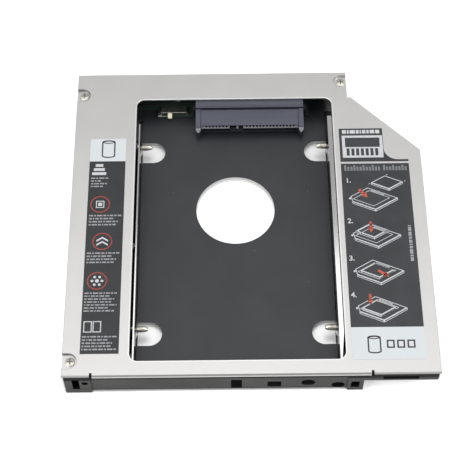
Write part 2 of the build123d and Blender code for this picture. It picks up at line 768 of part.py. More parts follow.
# Drive receptacle: guide posts, tongue slot and a row of contact channels
signal_start_x = receptacle_x + signal_start
power_start_x = receptacle_x + power_start
contact_xs = ([signal_start_x + i * contact_pitch for i in range(signal_contacts)]
              + [power_start_x + i * contact_pitch for i in range(power_contacts)])
channel_top = receptacle_top - contact_slot_roof
channel_bottom = channel_top - contact_slot_height
contact_z = channel_bottom + contact_slot_height / 2
with BuildPart() as drive_receptacle:
    # Front body and the taller block on the board
    block(receptacle_x - half_body, receptacle_x + half_body, receptacle_front_y, board_front_y,
          receptacle_bottom, receptacle_top)
    block(receptacle_x - post_out, receptacle_x + post_out, board_front_y, receptacle_rear_y,
          board_top, block_top)
    block(receptacle_x - post_out, receptacle_x + post_out, board_front_y - block_groove,
          board_front_y, receptacle_bottom, receptacle_top - block_groove_depth)
    block(receptacle_x - half_body, receptacle_x + half_body, board_front_y - block_groove, board_front_y,
          receptacle_top - block_groove_depth, receptacle_top, mode=Mode.SUBTRACT)
    # Ledge under the row of contact channels
    block(receptacle_x - half_body, receptacle_x + half_body, receptacle_front_y - ledge_reach,
          receptacle_front_y, channel_bottom - ledge_height, channel_bottom)
    # Guide posts with pointed tips, and the ears behind them
    for side in (-1, 1):
        post_x = receptacle_x + side * (post_in + post_out) / 2
        post_left_x = post_x - guide_post_width / 2
        post_right_x = post_x + guide_post_width / 2
        tip_y = receptacle_front_y - guide_post_reach
        with BuildSketch(Plane.XY.offset(receptacle_bottom)):
            with BuildLine():
                Polyline([(post_left_x, board_front_y), (post_right_x, board_front_y),
                          (post_right_x, tip_y + guide_post_point), (post_x, tip_y),
                          (post_left_x, tip_y + guide_post_point)], close=True)
            make_face()
        extrude(amount=receptacle_top - receptacle_bottom)
        with BuildSketch(Plane.YZ.offset(post_left_x)):
            with BuildLine():
                Polyline([(tip_y, receptacle_top), (tip_y + guide_post_slope_run, receptacle_top),
                          (tip_y, receptacle_top - guide_post_slope_drop)], close=True)
            make_face()
        extrude(amount=guide_post_width, mode=Mode.SUBTRACT)
        ear_x = receptacle_x + side * post_out
        block(*sorted((ear_x, ear_x + side * ear_width)), board_front_y, board_front_y + ear_depth,
              board_top, receptacle_top + ear_height - block_groove_depth)
    # Tongue slots of the signal and power groups
    for first, count in ((signal_start_x, signal_contacts), (power_start_x, power_contacts)):
        block(first - contact_pitch, first + count * contact_pitch,
              receptacle_front_y - ledge_reach, receptacle_front_y + tongue_depth,
              tongue_bottom, tongue_bottom + tongue_height, mode=Mode.SUBTRACT)
    # Key openings between the two groups
    for start, width in key_openings:
        block(receptacle_x + start, receptacle_x + start + width, receptacle_front_y - ledge_reach,
              receptacle_front_y + key_depth, channel_bottom - ledge_height, channel_top, mode=Mode.SUBTRACT)
    # Contact channels, right through
    for x in contact_xs:
        block(x - contact_slot_width / 2, x + contact_slot_width / 2, receptacle_front_y, receptacle_rear_y,
              channel_bottom, channel_top, mode=Mode.SUBTRACT)
finish(drive_receptacle.part, "drive_receptacle")


def make_contact(tip_y, riser_y, strip_z):
    """Contact strip at X = 0: level run from its tip, riser, and foot on the board."""
    away = 1 if riser_y > tip_y else -1
    half = contact_thickness / 2
    with BuildPart() as contact:
        with BuildSketch(Plane.YZ.offset(-contact_width / 2)):
            span(*sorted((tip_y, riser_y + away * half)), strip_z - half, strip_z + half)
            span(riser_y - half, riser_y + half, board_top, strip_z + half)
            span(*sorted((riser_y, riser_y + away * contact_foot)), board_top, board_top + contact_thickness)
        extrude(amount=contact_width)
    return contact.part


# Contacts of the receptacle
receptacle_contact = make_contact(receptacle_front_y + contact_setback,
                                  receptacle_rear_y + contact_riser_gap, contact_z)
with BuildPart() as receptacle_contacts:
    with Locations(*[(x, 0, 0) for x in contact_xs]):
        add(receptacle_contact)
finish(receptacle_contacts.part, "receptacle_contacts")


# Host plug: shell open to the rear, with a tongue that carries the contacts
host_front_y = rear_y - host_depth
host_floor_y = rear_y - host_cavity_depth
host_middle_z = board_top + host_height / 2
host_signal_x = host_x + host_signal_start
host_power_x = host_x + host_power_start
host_contact_xs = ([host_signal_x + i * contact_pitch for i in range(host_signal_contacts)]
                   + [host_power_x + i * contact_pitch for i in range(host_power_contacts)])
host_contact_z = host_middle_z + host_tongue_thickness / 2 + contact_thickness / 2
with BuildPart() as host_connector:
    block(host_left_x, host_right_x, host_front_y, rear_y, board_top, board_top + host_height)
    fillet(host_connector.edges().filter_by(Axis.Y).group_by(Axis.Z)[-1], radius=host_corner_round)
    block(host_left_x + host_wall, host_right_x - host_wall, host_floor_y, rear_y,
          board_top + host_wall, board_top + host_height - host_wall, mode=Mode.SUBTRACT)
    block(host_x - host_tongue_width / 2, host_x + host_tongue_width / 2,
          host_floor_y, rear_y - host_tongue_setback,
          host_middle_z - host_tongue_thickness / 2, host_middle_z + host_tongue_thickness / 2)
    for x in host_contact_xs:
        block(x - host_contact_slot / 2, x + host_contact_slot / 2, host_front_y, host_floor_y,
              host_contact_z - contact_thickness / 2, host_contact_z + contact_thickness, mode=Mode.SUBTRACT)
finish(host_connector.part, "host_connector")


# Contacts of the host plug, with their feet on the board
host_contact = make_contact(rear_y - host_contact_setback, host_front_y - contact_riser_gap, host_contact_z)
with BuildPart() as host_contacts:
    with Locations(*[(x, 0, 0) for x in host_contact_xs]):
        add(host_contact)
finish(host_contacts.part, "host_contacts")


# Slide switch: sheet frame with solder tabs, base, terminals and knob
switch_rear_y = switch_front_y + switch_depth
switch_top = board_top + switch_height
knob_x = switch_x + knob_rest_offset
knob_bottom = board_top + (switch_height - switch_sheet - knob_height) / 2
with BuildPart() as switch_frame:
    block(switch_left_x, switch_right_x, switch_front_y, switch_rear_y, board_top, switch_top)
    block(switch_left_x + switch_sheet, switch_right_x - switch_sheet, switch_front_y, switch_rear_y,
          board_top, switch_top - switch_sheet, mode=Mode.SUBTRACT)
    upper_edges = switch_frame.edges().filter_by(Axis.X).group_by(Axis.Z)[-1]
    fillet(upper_edges.sort_by(Axis.Y)[0], radius=switch_edge_round)
    for edge_x, outward in ((switch_left_x, -1), (switch_right_x, 1)):
        block(*sorted((edge_x, edge_x + outward * switch_tab_length)), switch_front_y,
              switch_front_y + switch_tab_depth, board_top, board_top + switch_sheet)
finish(switch_frame.part, "switch_frame")

with BuildPart() as switch_base:
    slot_left_x = knob_x - knob_width / 2 - knob_gap
    slot_right_x = knob_x + knob_travel + knob_width / 2 + knob_gap
    block(switch_left_x + switch_sheet + switch_side_gap, switch_right_x - switch_sheet - switch_side_gap,
          switch_front_y + switch_side_gap, switch_rear_y, board_top, switch_top - switch_sheet)
    block(slot_left_x, slot_right_x, switch_front_y, switch_front_y + knob_root + knob_gap,
          board_top, switch_top - switch_sheet, mode=Mode.SUBTRACT)
finish(switch_base.part, "switch_base")

with BuildPart() as switch_knob:
    block(knob_x - knob_width / 2, knob_x + knob_width / 2, switch_front_y - knob_reach,
          switch_front_y + knob_root, knob_bottom, knob_bottom + knob_height)
    fillet(switch_knob.faces().sort_by(Axis.Y)[0].edges(), radius=knob_round)
finish(switch_knob.part, "switch_knob")

with BuildPart() as switch_terminals:
    for i in range(terminal_count):
        terminal_x = switch_x + (i - (terminal_count - 1) / 2) * terminal_pitch
        block(terminal_x - terminal_width / 2, terminal_x + terminal_width / 2, switch_rear_y,
              switch_rear_y + terminal_length, board_top, board_top + switch_sheet)
finish(switch_terminals.part, "switch_terminals")


# Capacitors on the board
capacitor_xs = [left_board_screw_x + offset for offset in left_capacitor_offsets]
capacitor_xs.append(right_board_screw_x + right_capacitor_offset)
with BuildPart() as board_capacitors:
    for x in capacitor_xs:
        block(x - capacitor_length / 2, x + capacitor_length / 2, board_screw_y - capacitor_width / 2,
              board_screw_y + capacitor_width / 2, board_top, board_top + capacitor_height)
finish(board_capacitors.part, "board_capacitors")


# Labels on the cover
with BuildPart() as left_label:
    with BuildSketch(Plane.XY.offset(cover_top)):
        label_left_x = left_x + left_label_inset
        label_front_y = front_y + left_label_front_margin
        span(label_left_x, label_left_x + left_label_width, label_front_y, label_front_y + left_label_length)
    extrude(amount=label_thickness)
finish(left_label.part, "left_label")

right_label_front_y = front_y + right_label_front_margin
right_label_rear_y = right_label_front_y + right_label_length
with BuildPart() as right_label:
    with BuildSketch(Plane.XY.offset(cover_top)):
        span(right_label_x, right_label_x + right_label_width, right_label_front_y, right_label_rear_y)
    extrude(amount=label_thickness)
finish(right_label.part, "right_label")

with BuildPart() as right_label_header:
    header_front_y = right_label_rear_y + header_gap
    header_rear_y = header_front_y + header_length
    tab_right_x = right_label_x + header_width
    tail_right_x = right_label_x + right_label_width
    tail_y = header_front_y + header_tail_height
    with BuildSketch(Plane.XY.offset(cover_top)):
        with BuildLine():
            Polyline([(tab_right_x, tail_y + header_curve_radius), (tab_right_x, header_rear_y),
                      (right_label_x, header_rear_y), (right_label_x, header_front_y),
                      (tail_right_x, header_front_y), (tail_right_x, tail_y),
                      (tab_right_x + header_curve_radius, tail_y)])
            RadiusArc((tab_right_x + header_curve_radius, tail_y),
                      (tab_right_x, tail_y + header_curve_radius), header_curve_radius)
        make_face()
    extrude(amount=label_thickness)
finish(right_label_header.part, "right_label_header")
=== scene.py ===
"""Looks of the laptop drive caddy: finishes, threads, prints, floor, light and camera.

Everything is in metres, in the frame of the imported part. Small sizes are written in millimetres
times MM. The points of the prints are in plain millimetres until flat_shape takes them.

Some finishes are tinted by place. Their tints deepen gaps and walls and lighten edges, as the soft
light of the photo does.
"""
from math import cos, pi, radians, sin, sqrt

import bpy
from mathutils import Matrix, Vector


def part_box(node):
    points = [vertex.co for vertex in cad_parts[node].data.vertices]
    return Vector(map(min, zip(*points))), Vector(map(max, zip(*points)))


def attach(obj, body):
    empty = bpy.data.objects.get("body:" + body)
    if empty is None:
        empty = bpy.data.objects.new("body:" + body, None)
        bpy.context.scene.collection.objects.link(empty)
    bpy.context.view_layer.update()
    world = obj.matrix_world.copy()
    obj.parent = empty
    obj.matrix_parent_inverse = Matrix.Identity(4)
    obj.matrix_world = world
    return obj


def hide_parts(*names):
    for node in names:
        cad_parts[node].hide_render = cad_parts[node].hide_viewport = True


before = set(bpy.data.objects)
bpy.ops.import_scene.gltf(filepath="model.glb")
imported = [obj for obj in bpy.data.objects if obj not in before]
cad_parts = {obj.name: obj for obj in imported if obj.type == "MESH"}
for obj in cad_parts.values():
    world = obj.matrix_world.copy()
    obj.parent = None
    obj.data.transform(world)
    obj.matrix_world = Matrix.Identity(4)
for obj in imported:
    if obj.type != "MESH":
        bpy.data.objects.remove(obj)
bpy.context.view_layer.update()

MM = 0.001


# Shader maths

class Value:
    """A number that varies over a surface. Sums and products of values add Math nodes."""

    def __init__(self, finish, socket):
        self.finish = finish
        self.socket = socket

    def maths(self, operation, first, second=None):
        inputs = {0: first}
        if second is not None:
            inputs[1] = second
        node = self.finish.node("ShaderNodeMath", {"operation": operation}, inputs)
        return Value(self.finish, node.outputs[0])

    def __add__(self, other):
        return self.maths("ADD", self, other)

    def __radd__(self, other):
        return self.maths("ADD", other, self)

    def __sub__(self, other):
        return self.maths("SUBTRACT", self, other)

    def __rsub__(self, other):
        return self.maths("SUBTRACT", other, self)

    def __mul__(self, other):
        return self.maths("MULTIPLY", self, other)

    def __rmul__(self, other):
        return self.maths("MULTIPLY", other, self)

    def largest(self, other):
        return self.maths("MAXIMUM", self, other)

    def absolute(self):
        return self.maths("ABSOLUTE", self)

    def reach(self, other):
        """Distance whose two square parts are this value and the other."""
        squares = self * self + other * other
        return squares.maths("SQRT", squares)

    def over(self, level):
        """1 where the value is over the level, and 0 elsewhere."""
        return self.maths("GREATER_THAN", self, level)

    def under(self, level):
        """1 where the value is not over the level, and 0 elsewhere."""
        return 1.0 - self.over(level)

    def inside(self, low, high):
        """1 between two levels, and 0 outside them."""
        return self.over(low) * self.under(high)

    def rising(self, low, high):
        """Runs from 0 at low to 1 at high, and stays there beyond."""
        node = self.finish.node("ShaderNodeMapRange", {"clamp": True, "interpolation_type": "SMOOTHSTEP"},
                                {0: self, 1: low, 2: high, 3: 0.0, 4: 1.0})
        return Value(self.finish, node.outputs[0])

    def falling(self, low, high):
        """Runs from 1 at low to 0 at high, and stays there beyond."""
        return 1.0 - self.rising(low, high)


# Values of a noise between which a colour changes
NOISE_MIDDLE = (0.3, 0.7)
# Share of a speck's radius, and of a round mask's radius, at which its soft edge begins
SPECK_CORE = 0.6
SOFT_EDGE = 0.9


class Finish:
    """One material: a Principled shader whose constant values are set on its own sockets."""

    def __init__(self, name, **constants):
        self.material = bpy.data.materials.new(name)
        self.material.use_nodes = True
        self.tree = self.material.node_tree
        self.shader = self.tree.nodes["Principled BSDF"]
        for socket, value in constants.items():
            self.shader.inputs[socket.replace("_", " ")].default_value = value
        self.coordinates = self.node("ShaderNodeTexCoord")
        axes = self.node("ShaderNodeSeparateXYZ", {}, {0: self.coordinates.outputs["Object"]})
        self.x, self.y, self.z = [Value(self, output) for output in axes.outputs]

    def node(self, kind, settings=None, inputs=None):
        """A node of a type, with its settings first and then the values or links of its sockets."""
        made = self.tree.nodes.new(kind)
        for name, value in (settings or {}).items():
            setattr(made, name, value)
        for place, value in (inputs or {}).items():
            if isinstance(value, Value):
                value = value.socket
            if isinstance(value, bpy.types.NodeSocket):
                self.tree.links.new(value, made.inputs[place])
            else:
                made.inputs[place].default_value = value
        return made

    def scaled_place(self, scale):
        """Place on the object, multiplied along each axis."""
        place = self.coordinates.outputs["Object"]
        return self.node("ShaderNodeMapping", {}, {"Vector": place, "Scale": scale}).outputs[0]

    def noise(self, size, detail=3.0, stretch=(1.0, 1.0, 1.0)):
        """Cloudy noise whose patches are about the size, in metres, longer where stretch is larger."""
        place = self.scaled_place([1.0 / (size * longer) for longer in stretch])
        noise = self.node("ShaderNodeTexNoise", {}, {"Vector": place, "Scale": 1.0, "Detail": detail,
                                                     "Roughness": 0.55})
        return Value(self, noise.outputs[0])

    def specks(self, spacing, radius):
        """1 on scattered round specks and 0 between them. The radius is a share of the spacing."""
        place = self.scaled_place([1.0 / spacing] * 3)
        cells = self.node("ShaderNodeTexVoronoi", {}, {"Vector": place, "Scale": 1.0})
        return Value(self, cells.outputs["Distance"]).falling(radius * SPECK_CORE, radius)

    def blend(self, mask, low, high):
        """Colour that goes from low to high with the mask."""
        mix = self.node("ShaderNodeMix", {"data_type": "RGBA"}, {0: mask, 6: low, 7: high})
        return mix.outputs[2]

    def vary(self, noise, dark, light):
        """Base colour that goes from dark to light over the middle part of a noise."""
        self.feed("Base Color", self.blend(noise.rising(*NOISE_MIDDLE), dark, light))

    def tint(self, mask, colour, share=1.0):
        """Lay one more colour over the base colour, by the mask times the share."""
        below = self.shader.inputs["Base Color"].links[0].from_socket
        self.feed("Base Color", self.blend(mask * share, below, colour))

    def feed(self, socket, value):
        source = value.socket if isinstance(value, Value) else value
        self.tree.links.new(source, self.shader.inputs[socket])

    def relief(self, height, distance):
        """Fine relief of the surface, with the height times the distance, in metres."""
        bump = self.node("ShaderNodeBump", {}, {"Height": height, "Distance": distance})
        self.feed("Normal", bump.outputs[0])

    def dress(self, *objects):
        """Give the finish to whole objects, or to CAD nodes by name."""
        for item in objects:
            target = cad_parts[item] if isinstance(item, str) else item
            target.data.materials.clear()
            target.data.materials.append(self.material)


def rgb(red, green, blue):
    return (red, green, blue, 1.0)


def grey(level, warm=0.0):
    return rgb(level * (1 + warm), level, level * (1 - warm))


# Sheet metal

GRAIN_SIZE = 0.12 * MM
GRAIN_STRETCH = (30.0, 1.0, 1.0)
CLOUD_SIZE = 14.0 * MM
FINE_SIZE = 0.25 * MM
SHEET_RELIEF = 0.004 * MM


def coated_sheet(name, level, warm, roughness, relief, metallic):
    """Satin zinc-coated sheet, with a faint rolling grain along X and soft cloudy patches."""
    sheet = Finish(name, Metallic=metallic, Roughness=roughness)
    grain = sheet.noise(GRAIN_SIZE, 2.0, GRAIN_STRETCH)
    patches = sheet.noise(CLOUD_SIZE, 4.0)
    fine = sheet.noise(FINE_SIZE, 2.0)
    tone = 0.55 * patches + 0.3 * grain + 0.15 * fine
    sheet.feed("Base Color", sheet.blend(tone.rising(0.2, 0.8), grey(level * 0.95, warm),
                                         grey(level * 1.03, warm)))
    sheet.feed("Roughness", roughness - 0.03 + 0.06 * fine + 0.04 * patches)
    sheet.relief(grain * 0.7 + fine * 0.3, relief)
    return sheet


# Middle of the round end of both left recesses
RECESS_MIDDLES = ((-61.9 * MM, 53.8 * MM), (-61.9 * MM, -57.6 * MM))
RECESS_RADIUS = 2.9 * MM
# Width of the painted shade on each side of a recess's rim
RIM_SHADE_WIDTH = 0.22 * MM
WINDOW_MIDDLE = (-4.5 * MM, -3.15 * MM)
WINDOW_HALF = (36.7 * MM, 54.55 * MM)
WINDOW_CORNER = 2.8 * MM
# Distances from the window between which the painted highlight on the rolled edge ends
ROLLED_EDGE_HIGHLIGHT = (0.2 * MM, 0.7 * MM)
# Places along Y between which the painted shade on the front bend ends, and its lowest level
BEND_SHADE_REAR = (-63.15 * MM, -62.75 * MM)
BEND_SHADE_BOTTOM = 12.0 * MM


def make_cover_finish():
    """Cover with painted shade round its recess rims, a painted highlight on the rolled edge round the
    window and painted shade on the front bend.
    """
    cover = coated_sheet("cover_sheet", 0.5, 0.01, 0.36, SHEET_RELIEF, 0.9)
    for middle_x, middle_y in RECESS_MIDDLES:
        from_middle = (cover.x - middle_x).largest(0.0).reach(cover.y - middle_y)
        rim = (from_middle.rising(RECESS_RADIUS - RIM_SHADE_WIDTH, RECESS_RADIUS)
               * from_middle.falling(RECESS_RADIUS, RECESS_RADIUS + RIM_SHADE_WIDTH))
        # Painted shade: a soft dark ring round each recess's rim
        cover.tint(rim, grey(0.1), 0.55)
    beyond_x, beyond_y = [((place - middle).absolute() - (half - WINDOW_CORNER)).largest(0.0)
                          for place, middle, half in zip((cover.x, cover.y), WINDOW_MIDDLE, WINDOW_HALF)]
    from_window = beyond_x.reach(beyond_y) - WINDOW_CORNER
    # Painted highlight on the rolled edge round the window
    cover.tint(from_window.falling(*ROLLED_EDGE_HIGHLIGHT), grey(0.74), 0.7)
    # Painted shade on the front bend
    cover.tint(cover.y.falling(*BEND_SHADE_REAR) * cover.z.over(BEND_SHADE_BOTTOM), grey(0.1), 0.5)
    return cover


BAY_MIDDLE = -4.7 * MM
# Distances from the bay's middle, and places along Y, between which the tray shows beside the film and gets
# painted shade
BESIDE_FILM = (34.7 * MM, 40.0 * MM)
BAY_LENGTH = (-59.0 * MM, 54.0 * MM)
SHADED_STRIP_LEVELS = (0.4 * MM, 2.6 * MM)
# Levels between which the floors of the notches get painted light
LIT_NOTCH_LEVELS = (0.4 * MM, 0.75 * MM)
# Place along Y before which the front lip gets painted light
LIT_LIP_REAR = -62.9 * MM


def make_tray_finish():
    """Tray with painted light on its front lip, painted shade on the strips beside the film and painted
    light on the floors of its notches.
    """
    tray = coated_sheet("tray_sheet", 0.42, 0.002, 0.42, SHEET_RELIEF, 0.55)
    # Painted light on the front lip
    tray.tint(tray.y.under(LIT_LIP_REAR), grey(0.66))
    from_bay = (tray.x - BAY_MIDDLE).absolute()
    shaded_strips = from_bay.inside(*BESIDE_FILM) * tray.y.inside(*BAY_LENGTH) * tray.z.inside(*SHADED_STRIP_LEVELS)
    # Painted shade on the tray's strips beside the film
    tray.tint(shaded_strips, grey(0.06), 0.9)
    # Painted light on the floors of the notches
    tray.tint(from_bay.under(BESIDE_FILM[0]) * tray.z.inside(*LIT_NOTCH_LEVELS), grey(0.84))
    return tray


BOSS_RADIUS = 3.2 * MM
# Levels between which the painted shade on a guide's walls gives way to its light top edge
WALL_SHADE_TOP = (11.3 * MM, 11.6 * MM)


def make_guide_finish():
    """Bright sheet with painted shade on its walls below their top edge, all but the pressed bosses."""
    guide = coated_sheet("guide_sheet", 0.48, 0.004, 0.1, 0.0003 * MM, 1.0)
    bosses = 0.0
    for end in ("front", "rear"):
        low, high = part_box(f"{end}_left_drive_screw")
        from_screw = (guide.y - (low.y + high.y) / 2).reach(guide.z - (low.z + high.z) / 2)
        bosses = bosses + from_screw.falling(BOSS_RADIUS * SOFT_EDGE, BOSS_RADIUS)
    # Painted shade on the walls below their top edge
    guide.tint(guide.z.falling(*WALL_SHADE_TOP) * (1.0 - bosses), grey(0.055), 0.9)
    return guide


make_cover_finish().dress("top_cover")
make_tray_finish().dress("bottom_tray")
make_guide_finish().dress("left_guide", "right_guide")
coated_sheet("rivet_metal", 0.44, 0.0, 0.35, 0.002 * MM, 1.0).dress("guide_rivets")


# Film and plastics

HAZE_SIZE = 18.0 * MM
DUST_AREA_SIZE = 20.0 * MM
DUST_SPACING = 6.0 * MM
# Radius of a grain of dust as a share of the spacing, and the level over which an area is dusty
DUST_RADIUS = 0.03
DUSTY_LEVEL = 0.55
FILM_TOOTH_SIZE = 0.3 * MM
FLOW_SIZE = 6.0 * MM
FLOW_STRETCH = (3.0, 1.0, 1.0)


def make_film_finish():
    """Smooth dark film with a faint haze and a few specks of dust."""
    film = Finish("insulating_film", Roughness=0.42, Specular_IOR_Level=0.5)
    haze = film.noise(HAZE_SIZE, 3.0)
    tooth = film.noise(FILM_TOOTH_SIZE, 2.0)
    dust = film.specks(DUST_SPACING, DUST_RADIUS) * film.noise(DUST_AREA_SIZE).over(DUSTY_LEVEL)
    film.vary(haze, rgb(0.009, 0.01, 0.013), rgb(0.014, 0.015, 0.018))
    film.tint(dust, grey(0.5), 0.5)
    film.feed("Roughness", 0.36 + 0.12 * tooth)
    film.relief(tooth, 0.004 * MM)
    return film


def moulded_plastic(name, dark, light, roughness, texture_size, gloss=0.45):
    """Moulded plastic with a fine spark-eroded texture and slight colour variation."""
    plastic = Finish(name, Roughness=roughness, Specular_IOR_Level=gloss)
    texture = plastic.noise(texture_size, 3.0)
    flow = plastic.noise(FLOW_SIZE, 2.0, FLOW_STRETCH)
    plastic.vary(flow, dark, light)
    plastic.feed("Roughness", roughness - 0.06 + 0.12 * texture)
    plastic.relief(texture, 0.01 * MM)
    return plastic


# Places along X between which the rail's face lies back from its flush parts, and by how much
SET_BACK_FACE = (-54.4 * MM, 32.9 * MM)
FACE_DEPTH = 0.5 * MM
# Depths, and levels, between which painted shade darkens the openings and the gap under the cover's lip
OPENING_SHADE_DEPTHS = (0.55 * MM, 0.7 * MM)
UNDER_LIP_SHADE = (9.1 * MM, 9.6 * MM)


def make_rail_finish():
    """Dull black plastic with painted shade inside the openings and under the cover's lip."""
    rail = moulded_plastic("rail_plastic", rgb(0.047, 0.047, 0.046), rgb(0.06, 0.06, 0.059), 0.6,
                           0.2 * MM, gloss=0.1)
    front_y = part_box("front_rail")[0].y
    flush_part = 1.0 - rail.x.inside(*SET_BACK_FACE)
    depth = rail.y - front_y + flush_part * FACE_DEPTH
    # Painted shade inside the openings and under the cover's lip
    rail.tint(depth.rising(*OPENING_SHADE_DEPTHS).largest(rail.z.rising(*UNDER_LIP_SHADE)), grey(0.002), 0.92)
    return rail


# Receptacle, by distance from its own box: the posts' reach before the face, and levels down from
# its top or up from its bottom
POST_REACH = 2.4 * MM
LEDGE_REACH = 0.35 * MM
FACE_MARGIN = 0.02 * MM
BLOCK_LEVEL = 0.5 * MM
STEP_SHADE_LEVELS = (0.85 * MM, 0.08 * MM)
CHANNEL_LEVEL = 1.09 * MM
SHOULDER_LEVEL = 1.4 * MM
LEDGE_BOTTOM = 2.6 * MM
TIP_BOTTOM = 2.9 * MM
# Depths of the rear block, from the rear, between which its painted light grows
BLOCK_LIGHT_DEPTHS = (4.4 * MM, 1.4 * MM)


def make_receptacle_finish():
    """Grey plastic with painted light on the block, ledge and post tips, and painted shade on the step, in
    the channels and on the underside.
    """
    plastic = moulded_plastic("receptacle_plastic", rgb(0.066, 0.07, 0.094), rgb(0.077, 0.082, 0.106), 0.42,
                              0.25 * MM, gloss=0.25)
    low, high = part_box("drive_receptacle")
    face_y = low.y + POST_REACH
    behind_face = plastic.y.over(face_y + FACE_MARGIN)
    block_light = plastic.y.rising(*[high.y - depth for depth in BLOCK_LIGHT_DEPTHS])
    # Painted light on the top of the rear block, growing towards the rear
    plastic.tint(plastic.z.over(high.z - BLOCK_LEVEL) * block_light, rgb(0.24, 0.25, 0.29), 0.6)
    # Painted light on the ledge and the post tips before the face
    plastic.tint((1.0 - behind_face) * plastic.z.under(high.z - SHOULDER_LEVEL), rgb(0.3, 0.3, 0.32), 0.6)
    # Painted shade in the step between the front housing's top and the block's top
    plastic.tint(plastic.z.inside(*[high.z - level for level in STEP_SHADE_LEVELS]), rgb(0.004, 0.005, 0.01), 0.9)
    # Painted shade in the channels, below the ledge and below the post tips
    channel_shade = behind_face * plastic.z.under(high.z - CHANNEL_LEVEL)
    shade_below_ledge = plastic.z.under(high.z - LEDGE_BOTTOM) * plastic.y.over(face_y - LEDGE_REACH)
    shade_below_tips = plastic.z.under(low.z + TIP_BOTTOM)
    plastic.tint(channel_shade.largest(shade_below_ledge).largest(shade_below_tips), rgb(0.004, 0.004, 0.005), 0.9)
    return plastic


# Finish, dark and light colour, roughness and texture size, and the node that it dresses
PLAIN_PLASTICS = (
    ("host_plastic", rgb(0.012, 0.012, 0.013), rgb(0.018, 0.018, 0.019), 0.45, 0.2 * MM, "host_connector"),
    ("switch_plastic", rgb(0.012, 0.014, 0.013), rgb(0.018, 0.02, 0.019), 0.5, 0.15 * MM, "switch_base"),
    ("knob_plastic", rgb(0.66, 0.62, 0.46), rgb(0.74, 0.7, 0.54), 0.4, 0.15 * MM, "switch_knob"),
    ("capacitor_ceramic", rgb(0.2, 0.14, 0.08), rgb(0.28, 0.2, 0.12), 0.55, 0.1 * MM, "board_capacitors"))

make_film_finish().dress("insulating_film")
make_rail_finish().dress("front_rail")
make_receptacle_finish().dress("drive_receptacle")
for *look, node in PLAIN_PLASTICS:
    moulded_plastic(*look).dress(node)


# Screws and contacts

MARK_SIZE = 0.08 * MM
PLATING_SIZE = 1.2 * MM


def plated_metal(name, dark, light, roughness):
    """Plated metal with fine drawing marks and slightly uneven plating."""
    metal = Finish(name, Metallic=1.0, Roughness=roughness)
    marks = metal.noise(MARK_SIZE, 3.0)
    uneven = metal.noise(PLATING_SIZE, 3.0)
    metal.vary(uneven, dark, light)
    metal.feed("Roughness", roughness - 0.05 + 0.1 * marks)
    metal.relief(marks, 0.002 * MM)
    return metal


CROSS_SHADE_REACH = 1.0 * MM
COVER_SCREW_AXES = ((-61.2 * MM, 53.8 * MM), (-61.2 * MM, -57.6 * MM), (36.2 * MM, 59.15 * MM))
BOARD_SCREW_AXES = ((-26.0 * MM, 58.9 * MM), (21.2 * MM, 58.9 * MM))
# Levels between which the painted shade in a cross fades: full at its floor, gone near the head's top
COVER_CROSS_SHADE_LEVELS = (11.95 * MM, 12.25 * MM)
BOARD_CROSS_SHADE_LEVELS = (3.7 * MM, 4.0 * MM)


def cross_screw_finish(name, axes, levels):
    """Warm nickel plating with painted shade inside the cross, by level and by distance from each axis."""
    metal = plated_metal(name, rgb(0.52, 0.505, 0.45), rgb(0.6, 0.585, 0.53), 0.5)
    cross_shade = 0.0
    for x, y in axes:
        from_axis = (metal.x - x).reach(metal.y - y)
        cross_shade = cross_shade + from_axis.falling(CROSS_SHADE_REACH * SOFT_EDGE, CROSS_SHADE_REACH)
    # Painted shade inside each cross
    metal.tint(cross_shade * metal.z.falling(*levels), rgb(0.09, 0.084, 0.07), 0.8)
    return metal


# Level of the retaining screws' axes, and half the height over which their shade begins
DRIVE_SCREW_AXIS = 5.4 * MM
SHADE_HALF = 0.3 * MM


def make_drive_screw_finish():
    """Bright steel, dark on the underside that lies in shade."""
    steel = plated_metal("drive_screw_steel", rgb(0.6, 0.58, 0.52), rgb(0.76, 0.74, 0.67), 0.3)
    in_shade = steel.z.falling(DRIVE_SCREW_AXIS - SHADE_HALF, DRIVE_SCREW_AXIS + SHADE_HALF)
    steel.tint(in_shade, rgb(0.03, 0.028, 0.02), 0.9)
    return steel


drive_screw_finish = make_drive_screw_finish()
drive_screw_finish.dress("front_left_drive_screw", "front_right_drive_screw", "rear_left_drive_screw",
                         "rear_right_drive_screw")
cross_screw_finish("cover_screw_nickel", COVER_SCREW_AXES, COVER_CROSS_SHADE_LEVELS).dress("cover_screws")
cross_screw_finish("board_screw_nickel", BOARD_SCREW_AXES, BOARD_CROSS_SHADE_LEVELS).dress("board_screws")
# The contacts' plating is painted dark, as shade, instead of its own bright plated colour
shaded_contact_finish = plated_metal("contact_metal", rgb(0.05, 0.044, 0.03), rgb(0.085, 0.075, 0.05), 0.5)
shaded_contact_finish.dress("receptacle_contacts", "host_contacts")
switch_finish = plated_metal("switch_metal", rgb(0.4, 0.4, 0.38), rgb(0.56, 0.56, 0.54), 0.3)
switch_finish.dress("switch_frame", "switch_terminals")


# Board

TRACK_PITCH = 1.1 * MM
TRACK_WAVE_SIZE = 9.0 * MM
# How far the tracks wander, in pitches, and the part of the pitch over which a track's edge rises
TRACK_WAVE = 0.6
TRACK_EDGE = (0.24, 0.28)
MOTTLE_SIZE = 1.5 * MM
# Solder of the switch frame: X and Y ranges of its front line and of its left pad
SOLDER = (((-33.7 * MM, -30.2 * MM), (50.15 * MM, 50.55 * MM)),
          ((-33.7 * MM, -32.3 * MM), (50.3 * MM, 50.9 * MM)))


